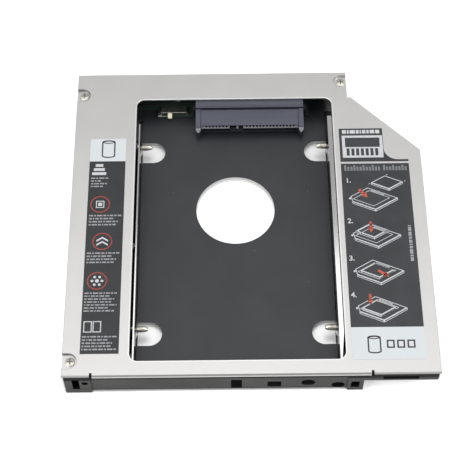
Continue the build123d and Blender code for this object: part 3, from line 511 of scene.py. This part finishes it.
def make_board_finish():
    """Green solder mask over copper tracks that run along the board, with solder by the switch."""
    board = Finish("board_laminate", Roughness=0.35, Coat_Weight=0.3, Coat_Roughness=0.2)
    rows = board.y * (1.0 / TRACK_PITCH) + TRACK_WAVE * board.noise(TRACK_WAVE_SIZE, 1.0)
    copper = rows.maths("PINGPONG", rows, 0.5).rising(*TRACK_EDGE)
    mottled = board.noise(MOTTLE_SIZE, 3.0)
    # Dark green solder mask, made darker still as painted shade from the cover over the board
    board.feed("Base Color", board.blend(copper, rgb(0.014, 0.022, 0.019), rgb(0.02, 0.034, 0.028)))
    board.tint(mottled, rgb(0.018, 0.027, 0.024), 0.4)
    line, pad = [board.x.inside(*x_range) * board.y.inside(*y_range) for x_range, y_range in SOLDER]
    board.tint(line.largest(pad), rgb(0.3, 0.31, 0.3), 0.7)
    board.feed("Roughness", 0.3 + 0.1 * mottled)
    board.relief(copper, 0.02 * MM)
    return board


make_board_finish().dress("adapter_board")


# Labels and their inks

INK_DEEP = rgb(0.012, 0.013, 0.016)
INK_DARK = rgb(0.017, 0.018, 0.021)
INK_LIGHT = rgb(0.026, 0.027, 0.031)
PAPER_WHITE = rgb(0.5, 0.525, 0.545)
INK_CLOUD_SIZE = 9.0 * MM
LABEL_TOOTH_SIZE = 0.35 * MM
BROKEN_INK_SIZE = 0.5 * MM
# Lengths of the white fields: at the left label's rear end and at the right label's front end
LEFT_WHITE_LENGTH = 10.0 * MM
RIGHT_WHITE_LENGTH = 12.2 * MM
BEYOND = 1.0 * MM


def printed_film(name, dark, light, white_range=None):
    """Glossy printed film: a dark field, and a white one between two places along Y."""
    film = Finish(name, Roughness=0.4, Specular_IOR_Level=0.4)
    clouds = film.noise(INK_CLOUD_SIZE, 3.0)
    tooth = film.noise(LABEL_TOOTH_SIZE, 2.0)
    film.vary(clouds, dark, light)
    if white_range:
        film.tint(film.y.inside(*white_range), PAPER_WHITE)
    film.feed("Roughness", 0.36 + 0.1 * tooth)
    film.relief(tooth, 0.003 * MM)
    return film


def ink_finish(name, dark, light):
    """Opaque screen-printed ink with a slightly broken tone."""
    ink = Finish(name, Roughness=0.45, Specular_IOR_Level=0.4)
    broken = ink.noise(BROKEN_INK_SIZE, 2.0)
    ink.vary(broken, dark, light)
    ink.feed("Roughness", 0.4 + 0.1 * broken)
    return ink


left_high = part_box("left_label")[1]
right_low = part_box("right_label")[0]
left_white_range = (left_high.y - LEFT_WHITE_LENGTH, left_high.y + BEYOND)
right_white_range = (right_low.y - BEYOND, right_low.y + RIGHT_WHITE_LENGTH)
printed_film("left_label_print", INK_DEEP, INK_DARK, left_white_range).dress("left_label")
printed_film("right_label_print", INK_DARK, INK_LIGHT, right_white_range).dress("right_label")
printed_film("header_print", INK_DARK, INK_LIGHT).dress("right_label_header")

white_ink = ink_finish("white_ink", rgb(0.4, 0.41, 0.425), rgb(0.5, 0.51, 0.525))
text_ink = ink_finish("text_ink", rgb(0.21, 0.215, 0.225), rgb(0.28, 0.285, 0.295))
red_ink = ink_finish("red_ink", rgb(0.34, 0.055, 0.034), rgb(0.43, 0.08, 0.048))
ring_ink = ink_finish("ring_ink", rgb(0.22, 0.034, 0.026), rgb(0.28, 0.046, 0.034))
dark_ink = ink_finish("dark_ink", rgb(0.022, 0.024, 0.03), rgb(0.03, 0.032, 0.038))


# Threads of the retaining screws

SCREW_LENGTH = 6.7 * MM
SCREW_CORE = 1.02 * MM
SCREW_CREST = 1.25 * MM
SCREW_TIP = 0.45 * MM
NOSE_LENGTH = 1.6 * MM
# Shares of the nose's length at which it has a ring
NOSE_RINGS = (0.2, 0.4, 0.58, 0.74, 0.87, 0.96, 1.0)
CORE_SIDES = 32
THREAD_PITCH = 0.45 * MM
THREAD_TURNS = 10
THREAD_START = 0.35 * MM
THREAD_STEPS = 20
RIDGE_HALF = 0.2 * MM
CREST_HALF = 0.035 * MM
SLOT_WIDTH = 0.5 * MM
SLOT_DEPTH = 0.8 * MM
SMOOTH_ANGLE = radians(35)


def clear_selection():
    bpy.ops.object.select_all(action="DESELECT")


def select_points(shape, wanted):
    """In edit mode, select just the points whose place passes the test."""
    bpy.ops.mesh.select_all(action="DESELECT")
    bpy.ops.object.mode_set(mode="OBJECT")
    for vertex in shape.data.vertices:
        vertex.select = wanted(vertex.co)
    bpy.ops.object.mode_set(mode="EDIT")


def turn_normals_outwards():
    """In edit mode, turn all faces outwards, and go back to object mode."""
    bpy.ops.mesh.select_all(action="SELECT")
    bpy.ops.mesh.normals_make_consistent(inside=False)
    bpy.ops.object.mode_set(mode="OBJECT")


def make_screw_core():
    """Slotted shaft with a rounded nose, along Z from its outer end."""
    clear_selection()
    bpy.ops.mesh.primitive_circle_add(vertices=CORE_SIDES, radius=SCREW_CORE, fill_type="NGON")
    core = bpy.context.object
    bpy.ops.object.mode_set(mode="EDIT")
    bpy.ops.mesh.select_all(action="SELECT")
    shaft = SCREW_LENGTH - NOSE_LENGTH
    bpy.ops.mesh.extrude_region_move(TRANSFORM_OT_translate={"value": (0, 0, shaft)})
    radius = SCREW_CORE
    reached = 0.0
    for share in NOSE_RINGS:
        target = SCREW_TIP + (SCREW_CORE - SCREW_TIP) * sqrt(1 - share * share)
        step = (share - reached) * NOSE_LENGTH
        bpy.ops.mesh.extrude_region_move(TRANSFORM_OT_translate={"value": (0, 0, step)})
        level = shaft + share * NOSE_LENGTH
        bpy.ops.transform.resize(value=(target / radius, target / radius, 1), center_override=(0, 0, level))
        radius = target
        reached = share
    turn_normals_outwards()
    cut_slot(core)
    return core


def cut_slot(core):
    """Cut the screwdriver slot across the outer end."""
    clear_selection()
    bpy.ops.mesh.primitive_cube_add(size=1.0, location=(0, 0, 0))
    cutter = bpy.context.object
    cutter.scale = (3 * SCREW_CREST, SLOT_WIDTH, 2 * SLOT_DEPTH)
    bpy.ops.object.transform_apply(location=True, rotation=True, scale=True)
    slot = core.modifiers.new("slot", "BOOLEAN")
    slot.operation = "DIFFERENCE"
    slot.solver = "EXACT"
    slot.object = cutter
    bpy.context.view_layer.objects.active = core
    bpy.ops.object.modifier_apply(modifier=slot.name)
    bpy.data.objects.remove(cutter, do_unlink=True)


def make_thread_ridge():
    """Helical ridge round the shaft, closed at both ends."""
    inner = SCREW_CORE - CREST_HALF
    profile = ((inner, -RIDGE_HALF), (SCREW_CREST, -CREST_HALF),
               (SCREW_CREST, CREST_HALF), (inner, RIDGE_HALF))
    clear_selection()
    bpy.ops.mesh.primitive_circle_add(vertices=len(profile), radius=RIDGE_HALF, fill_type="NOTHING")
    ridge = bpy.context.object
    for vertex, (out, up) in zip(ridge.data.vertices, profile):
        vertex.co = (out, 0, THREAD_START + RIDGE_HALF + up)
    thread = ridge.modifiers.new("thread", "SCREW")
    thread.axis = "Z"
    thread.angle = 2 * pi
    thread.screw_offset = THREAD_PITCH
    thread.iterations = THREAD_TURNS
    thread.steps = THREAD_STEPS
    thread.render_steps = THREAD_STEPS
    thread.use_merge_vertices = True
    bpy.ops.object.modifier_apply(modifier=thread.name)
    half_run = THREAD_PITCH * THREAD_TURNS / 2
    middle = THREAD_START + RIDGE_HALF + half_run
    beyond = half_run - RIDGE_HALF - CREST_HALF
    bpy.ops.object.mode_set(mode="EDIT")
    for side in (-1, 1):
        select_points(ridge, lambda place: abs(place.y) < CREST_HALF and place.x > 0
                      and side * (place.z - middle) > beyond)
        bpy.ops.mesh.edge_face_add()
    turn_normals_outwards()
    return ridge


def make_retaining_screw():
    """Shaft and ridge as one piece, along Z from its outer end."""
    core = make_screw_core()
    ridge = make_thread_ridge()
    clear_selection()
    core.select_set(True)
    ridge.select_set(True)
    bpy.context.view_layer.objects.active = core
    bpy.ops.object.join()
    bpy.ops.object.shade_smooth_by_angle(angle=SMOOTH_ANGLE)
    return core


def place_retaining_screw(model, end, side):
    """Copy of the threaded screw in the place of one CAD screw, tip towards the bay."""
    node = f"{end}_{side}_drive_screw"
    low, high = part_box(node)
    clear_selection()
    screw = model.copy()
    screw.data = model.data.copy()
    screw.name = screw.data.name = f"{end}_{side}_threaded_screw"
    bpy.context.scene.collection.objects.link(screw)
    outer_x = low.x if side == "left" else high.x
    screw.location = (outer_x, (low.y + high.y) / 2, (low.z + high.z) / 2)
    screw.rotation_euler = (0, radians(90 if side == "left" else -90), 0)
    screw.select_set(True)
    bpy.context.view_layer.objects.active = screw
    bpy.ops.object.transform_apply(location=True, rotation=True, scale=True)
    drive_screw_finish.dress(screw)
    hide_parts(node)
    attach(screw, f"{end}_{side}_screw")


screw_model = make_retaining_screw()
for end in ("front", "rear"):
    for side in ("left", "right"):
        place_retaining_screw(screw_model, end, side)
bpy.data.objects.remove(screw_model, do_unlink=True)


# Prints on the labels. Points are in millimetres

LABEL_TOP = left_high.z
PRINT_HEIGHT = 0.015 * MM


def area_sign(points):
    """Positive where the points go round to the left."""
    total = 0.0
    for (x0, y0), (x1, y1) in zip(points, points[1:] + points[:1]):
        total += x0 * y1 - x1 * y0
    return total


def flat_shape(points, line=None):
    """Closed flat shape, or with a line width only its outline."""
    if area_sign(points) < 0:
        points = points[::-1]
    clear_selection()
    bpy.ops.mesh.primitive_circle_add(vertices=len(points), radius=MM, fill_type="NGON")
    shape = bpy.context.object
    for vertex, (x, y) in zip(shape.data.vertices, points):
        vertex.co = (x * MM, y * MM, 0)
    bpy.ops.object.mode_set(mode="EDIT")
    bpy.ops.mesh.select_all(action="SELECT")
    bpy.ops.mesh.normals_make_consistent(inside=False)
    if line:
        bpy.ops.mesh.inset(thickness=line * MM, use_even_offset=True)
        bpy.ops.mesh.delete(type="ONLY_FACE")
    bpy.ops.object.mode_set(mode="OBJECT")
    if shape.data.polygons and shape.data.polygons[0].normal.z < 0:
        shape.data.flip_normals()
    return shape


def circle_points(x, y, radius_x, radius_y=None, count=36, start=0.0, end=2 * pi):
    """Points round an ellipse, or along a part of it."""
    radius_y = radius_x if radius_y is None else radius_y
    whole = end - start > 2 * pi - 0.001
    steps = count if whole else count - 1
    turns = [start + (end - start) * i / steps for i in range(count)]
    return [(x + radius_x * cos(turn), y + radius_y * sin(turn)) for turn in turns]


def box_points(x0, x1, y0, y1):
    return [(x0, y0), (x1, y0), (x1, y1), (x0, y1)]


def box_shapes(boxes, line=None):
    return [flat_shape(box_points(*box), line) for box in boxes]


BAR_LENGTHS = (1.5, 0.7, 1.9, 1.1, 0.5, 1.3, 0.9, 1.7)
BAR_GAP = 0.35
# How far before the right end each of four rows stops
ROW_ENDS = (0, 2.6, 0.8, 1.9)
# How many places further in the lengths each row begins than the row before
ROW_STEP = 3


def text_rows(x0, x1, y0, y1, rows, share=0.46, upright=False):
    """Rows of short bars that stand in for words. Their lengths repeat in a fixed order."""
    boxes = []
    pitch = ((x1 - x0) if upright else (y1 - y0)) / rows
    for row in range(rows):
        place = y0 if upright else x0
        stop = (y1 if upright else x1) - ROW_ENDS[row % len(ROW_ENDS)]
        step = row * ROW_STEP
        low = (x0 + row * pitch) if upright else (y1 - (row + share) * pitch)
        high = low + share * pitch
        while place < stop:
            length = min(BAR_LENGTHS[step % len(BAR_LENGTHS)], stop - place)
            if length > BAR_GAP:
                boxes.append((low, high, place, place + length) if upright
                             else (place, place + length, low, high))
            place += length + BAR_GAP
            step += 1
    return box_shapes(boxes)


CYLINDER_LINE = 0.5
# Depth of the round ends as a share of half the width, and the rim's depth as a share of that
CYLINDER_DEPTH = 0.34
RIM_SHARE = 0.8
RIM_LINE = 0.375


def cylinder_icon(x, y, width, height):
    """Plain upright cylinder drawn in line, from its lower middle: its closed side and its top."""
    radius = width / 2
    flat = radius * CYLINDER_DEPTH
    side = (circle_points(x, y + height - flat, radius, flat, 13, 0.0, pi)
            + circle_points(x, y + flat, radius, flat, 13, pi, 2 * pi))
    rim = circle_points(x, y + height - flat, radius - CYLINDER_LINE / 2, flat * RIM_SHARE, 24)
    return [flat_shape(side, CYLINDER_LINE), flat_shape(rim, RIM_LINE)]


NUMBER_SIZE = 2.8
# How much the strokes of a number are widened, as a share of its size
NUMBER_WEIGHT = 0.03


def number_shape(text, x, y):
    """Printed number as a flat mesh."""
    clear_selection()
    bpy.ops.object.text_add(location=(x * MM, y * MM, 0))
    number = bpy.context.object
    number.data.body = text
    number.data.size = NUMBER_SIZE * MM
    number.data.offset = NUMBER_WEIGHT * NUMBER_SIZE * MM
    bpy.ops.object.convert(target="MESH")
    bpy.ops.object.transform_apply(location=True, rotation=True, scale=True)
    return bpy.context.object


def printed(label, name, shapes, finish, surface=LABEL_TOP):
    """One printed layer of a label: joins its flat shapes and gives them the ink's thickness."""
    clear_selection()
    for shape in shapes:
        shape.select_set(True)
    bpy.context.view_layer.objects.active = shapes[0]
    bpy.ops.object.join()
    layer = bpy.context.object
    layer.name = layer.data.name = f"{label}_{name}"
    for vertex in layer.data.vertices:
        vertex.co.z = surface
    ink = layer.modifiers.new("ink", "SOLIDIFY")
    ink.thickness = PRINT_HEIGHT
    ink.offset = 1.0
    bpy.ops.object.modifier_apply(modifier=ink.name)
    finish.dress(layer)
    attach(layer, "caddy")


# Left label: a cylinder, then white motifs with rows of bars below them

# Middle, bottom, width and height
LEFT_CYLINDER = (-51.2, 25.0, 5.0, 7.9)
# Stack of plain blocks: half widths from the bottom up
STACK_X = -54.3
STACK_HALVES = (2.6, 2.0, 1.4)
STACK_BOTTOM = 17.5
STACK_PITCH = 1.8
STACK_THICKNESS = 1.2
RINGS = ((-53.4, 4.8), (-52.05, -10.8), (-53.25, -26.8))
RING_RADIUS = 3.55
RING_LINE = 0.42
OUTER_SQUARE = (-54.9, -51.9, 3.3, 6.3)
OUTER_SQUARE_LINE = 0.32
INNER_SQUARE = (-54.1, -52.7, 4.1, 5.5)
CHEVRON = ((-54.1, 0.0), (-52.05, 1.3), (-50.0, 0.0), (-50.0, 0.7), (-52.05, 2.0), (-54.1, 0.7))
CHEVRON_BOTTOMS = (-12.6, -10.9)
DOTS = 6
DOT_RADIUS = 0.5
DOT_REACH = 1.75
MIDDLE_DOT_RADIUS = 0.7
PANELS = ((-57.2, -54.3, -46.9, -42.6), (-54.0, -51.1, -46.9, -42.6))
PANEL_LINE = 0.34
# Left and right end, lower and upper end, and number of rows
LEFT_TEXTS = ((-57.1, -50.4, 11.6, 16.4, 4), (-57.2, -45.6, -4.8, 0.3, 4), (-57.3, -45.8, -20.3, -15.3, 4),
              (-57.4, -46.1, -39.5, -31.4, 7), (-57.5, -45.7, -54.3, -48.3, 5))


def left_motifs():
    """Stack of blocks, squares, a chevron pair, a ring of dots, and two panels side by side."""
    bottoms = [STACK_BOTTOM + STACK_PITCH * i for i in range(len(STACK_HALVES))]
    shapes = box_shapes([(STACK_X - half, STACK_X + half, bottom, bottom + STACK_THICKNESS)
                         for half, bottom in zip(STACK_HALVES, bottoms)])
    shapes += box_shapes([OUTER_SQUARE], OUTER_SQUARE_LINE) + box_shapes([INNER_SQUARE])
    shapes += [flat_shape([(x, bottom + up) for x, up in CHEVRON]) for bottom in CHEVRON_BOTTOMS]
    middle_x, middle_y = RINGS[2]
    shapes += [flat_shape(circle_points(x, y, DOT_RADIUS, count=14))
               for x, y in circle_points(middle_x, middle_y, DOT_REACH, count=DOTS)]
    shapes.append(flat_shape(circle_points(middle_x, middle_y, MIDDLE_DOT_RADIUS, count=18)))
    return shapes + box_shapes(PANELS, PANEL_LINE)


printed("left_label", "cylinder", cylinder_icon(*LEFT_CYLINDER), dark_ink)
printed("left_label", "white_print", left_motifs(), white_ink)
printed("left_label", "text_print", [bar for place in LEFT_TEXTS for bar in text_rows(*place)], text_ink)
printed("left_label", "red_print",
        [flat_shape(circle_points(x, y, RING_RADIUS, count=40), RING_LINE) for x, y in RINGS], ring_ink)


# Right label: a heading, four line drawings of a plain tray and block with arrows, and a footer

DRAWING_SIZE = 0.134
LINE_WIDTH = 0.26
THIN_LINE = 0.2
# How far the label place moves for a step to the right, to the rear and up in the drawn tray
ACROSS = (0.80, -0.62, 0.0)
ALONG = (-0.34, -0.36, 0.9)
# Width and length of the drawn tray, and the thickness of both the tray and the block
TRAY_SIZE = 100
THICK = 7
TRAY_CORNER = 24
TRAY_FIELDS = (((14, 84), (12, 86)), ((18, 60), (6, 13)))
TRAY_DOT = (7, 88, 0)
TRAY_DOT_RADIUS = 0.42
BLOCK_X = (19, 79)
BLOCK_Y = (18, 80)
# Reach and width of the guide strokes before and behind the block
GUIDE_REACH = 12
GUIDE_WIDTH = 2
NUMBERS = (("1.", 35.7, 13.0), ("2.", 35.5, -4.3), ("3.", 35.2, -19.7), ("4.", 35.1, -34.3))
# Each drawing: its place, how far its block is shifted and lifted, and whether guide strokes show
DRAWINGS = ((43.5, 10.7, 56, 78, True), (43.5, -4.8, -6, 14, False), (43.5, -19.5, 2, 4, False),
            (43.5, -34.1, -2, 1, False))
# Share of an arrow's length that is its head, and of its width that is half its shaft
ARROW_HEAD = 0.45
ARROW_SHAFT = 0.22
# Tip, length, width and turn in degrees
ARROWS = ((43.3, 6.5, 4.6, 2.6, 310), (43.7, -8.4, 4.6, 2.2, 270), (48.9, -26.4, 4.6, 2.2, 325),
          (41.7, -37.4, 4.2, 2.0, 270))
# Heading: left end, lower and upper edge, and strokes in each group
HEADING = (35.6, 18.2, 20.4)
HEADING_GROUPS = (12, 8)
STROKE_PITCH = 1.12
STROKE_WIDTH = 0.62
STROKE_LINE = 0.2
# Height of the low strokes as a share of the tall ones, and the gap after a group in pitches
LOW_STROKE = 0.72
GROUP_GAP = 0.7
# Upright row of bars, with its values in the order of LEFT_TEXTS
UPRIGHT_TEXT = (56.9, 58.5, -20.2, -5.5, 1)
# Middle, bottom, width and height
FOOTER_CYLINDER = (42.0, -56.0, 4.6, 6.8)
FOOTER_SQUARES = ((46.2, 48.9, -54.0, -50.9), (49.7, 52.4, -54.0, -50.9), (53.2, 55.9, -54.0, -50.9))
FOOTER_LINE = 0.55


def outline_box(x_range, y_range, up):
    """Corners of a level rectangle in the drawn tray."""
    (x0, x1), (y0, y1) = x_range, y_range
    return [(x0, y0, up), (x1, y0, up), (x1, y1, up), (x0, y1, up)]


def band(edge, up):
    """Upright band below a chain of points in the drawn tray."""
    return [(x, y, up) for x, y in edge] + [(x, y, up - THICK) for x, y in edge[::-1]]


def tray_drawing(x, y, shift, up, guides):
    """White line drawing of a plain tray with a cut corner and a block that goes into it."""
    def place(*point):
        across, along = [sum(share * step for share, step in zip(shares, point))
                         for shares in (ACROSS, ALONG)]
        return (x + DRAWING_SIZE * across, y + DRAWING_SIZE * along)

    left, right = [edge + shift for edge in BLOCK_X]
    front, rear = BLOCK_Y
    front_left, front_right, rear_right = (0, 0), (TRAY_SIZE, 0), (TRAY_SIZE, TRAY_SIZE)
    cut_rear, cut_left = (TRAY_CORNER, TRAY_SIZE), (0, TRAY_SIZE - TRAY_CORNER)
    # Outlines of the tray and the block, then all thinner lines
    wide = [[(*corner, 0) for corner in (front_left, front_right, rear_right, cut_rear, cut_left)],
            outline_box((left, right), BLOCK_Y, up)]
    thin = [band([cut_left, cut_rear, rear_right], 0), band([front_right, rear_right], 0),
            band([(left, rear), (right, rear)], up), band([(right, front), (right, rear)], up)]
    thin += [outline_box(*field, 0) for field in TRAY_FIELDS]
    solid = []
    if guides:
        for edge_x in (left, right):
            for edge_y, reach in ((front, -GUIDE_REACH), (rear, GUIDE_REACH)):
                ends = (edge_y + reach / 3, edge_y + reach)
                solid.append(outline_box((edge_x, edge_x + GUIDE_WIDTH), ends, up))
    shapes = [flat_shape([place(*point) for point in loop], width)
              for loops, width in ((wide, LINE_WIDTH), (thin, THIN_LINE), (solid, None)) for loop in loops]
    shapes.append(flat_shape(circle_points(*place(*TRAY_DOT), TRAY_DOT_RADIUS, count=14)))
    return shapes


def arrow_shape(x, y, length, width, turn):
    """Solid arrow with its tip at a place, pointing along the turn."""
    head, half, shaft_half = ARROW_HEAD * length, width / 2, ARROW_SHAFT * width
    outline = [(0, 0), (-head, half), (-head, shaft_half), (-length, shaft_half),
               (-length, -shaft_half), (-head, -shaft_half), (-head, -half)]
    cosine, sine = cos(radians(turn)), sin(radians(turn))
    return flat_shape([(x + a * cosine - b * sine, y + a * sine + b * cosine) for a, b in outline])


def letter_bars(x, y0, y1, groups):
    """Upright strokes of two heights in groups, which stand in for a line of large letters."""
    boxes = []
    for group in groups:
        for i in range(group):
            height = (y1 - y0) * (1.0 if i % 3 == 0 else LOW_STROKE)
            boxes.append((x, x + STROKE_WIDTH, y0, y0 + height))
            x += STROKE_PITCH
        x += STROKE_PITCH * GROUP_GAP
    return box_shapes(boxes, STROKE_LINE)


numbers = [number_shape(*number) for number in NUMBERS]
drawings = [shape for drawing in DRAWINGS for shape in tray_drawing(*drawing)]
printed("right_label", "white_print", numbers + drawings, white_ink)
printed("right_label", "text_print",
        letter_bars(*HEADING, HEADING_GROUPS) + text_rows(*UPRIGHT_TEXT, share=0.7, upright=True), text_ink)
printed("right_label", "red_print", [arrow_shape(*arrow) for arrow in ARROWS], red_ink)
printed("right_label", "footer_print",
        cylinder_icon(*FOOTER_CYLINDER) + box_shapes(FOOTER_SQUARES, FOOTER_LINE), dark_ink)


# Header: a white plate with a plain edge connector in the dark ink, below a row of bars

PLATE = (35.3, 50.3, 23.9, 33.8)
PLATE_TEXT = (35.5, 50.0, 34.3, 36.3, 1)
CONNECTOR = (36.4, 49.2, 28.6, 32.8)
PINS = 7
FIRST_PIN = 36.8
PIN_PITCH = 1.76
PIN_WIDTH = 1.1
PIN_ENDS = (24.8, 28.0)

pin_lefts = [FIRST_PIN + PIN_PITCH * i for i in range(PINS)]
pins = [(pin_left, pin_left + PIN_WIDTH, *PIN_ENDS) for pin_left in pin_lefts]
printed("right_label_header", "white_print",
        box_shapes([PLATE]) + text_rows(*PLATE_TEXT, share=0.8), white_ink)
printed("right_label_header", "dark_print", box_shapes([CONNECTOR] + pins), dark_ink,
        LABEL_TOP + PRINT_HEIGHT)


# Floor, light and camera

FLOOR_SIZE = 4.0
FLOOR_LEVEL = -0.1 * MM
FLOOR_GLOW = 0.15
FIBRE_SIZE = 4.0 * MM
WORLD_LEVEL = 0.7
# Large soft lights that face the caddy: name, place, size and power
LIGHTS = (("rear_light", (0.0, 0.22, 1.2), 0.85, 3.95),
          ("left_light", (-0.9, -0.45, 0.9), 0.6, 7.6),
          ("right_light", (0.9, -0.45, 0.9), 0.6, 7.6))
# Camera, as it stood for the photograph
CAMERA_PLACE = (-0.0063393, -0.2583464, 0.4297152)
CAMERA_TURN = (31.28145, 0.50012, -0.44572)
CAMERA_LENS = 108.722
SENSOR_WIDTH = 36.0
CLIP_START = 0.01


def make_floor():
    """Plain pale floor under the caddy."""
    clear_selection()
    bpy.ops.mesh.primitive_plane_add(size=FLOOR_SIZE, location=(0, 0, FLOOR_LEVEL))
    floor = bpy.context.object
    floor.name = "floor"
    bpy.ops.object.transform_apply(location=True, rotation=False, scale=False)
    paper = Finish("floor_paper", Roughness=0.9, Specular_IOR_Level=0.1, Emission_Color=grey(1.0),
                   Emission_Strength=FLOOR_GLOW)
    paper.feed("Base Color", paper.blend(paper.noise(FIBRE_SIZE, 2.0), grey(0.93), grey(0.95)))
    paper.dress(floor)


def make_light(name, place, size, power):
    light = bpy.data.lights.new(name, "AREA")
    light.shape = "SQUARE"
    light.size = size
    light.energy = power
    lamp = bpy.data.objects.new(name, light)
    bpy.context.scene.collection.objects.link(lamp)
    lamp.location = place
    lamp.rotation_euler = Vector(place).to_track_quat("Z", "Y").to_euler()


def make_world():
    """Even white surroundings, shown as they are, without a film curve."""
    world = bpy.data.worlds.new("studio")
    world.use_nodes = True
    background = world.node_tree.nodes["Background"]
    background.inputs["Color"].default_value = grey(1.0)
    background.inputs["Strength"].default_value = WORLD_LEVEL
    bpy.context.scene.world = world
    bpy.context.scene.view_settings.view_transform = "Standard"


def make_camera():
    camera_data = bpy.data.cameras.new("camera")
    camera_data.sensor_width = SENSOR_WIDTH
    camera_data.lens = CAMERA_LENS
    camera_data.clip_start = CLIP_START
    camera = bpy.data.objects.new("camera", camera_data)
    bpy.context.scene.collection.objects.link(camera)
    camera.location = CAMERA_PLACE
    camera.rotation_euler = [radians(turn) for turn in CAMERA_TURN]
    bpy.context.scene.camera = camera


make_floor()
for light_values in LIGHTS:
    make_light(*light_values)
make_world()
make_camera()
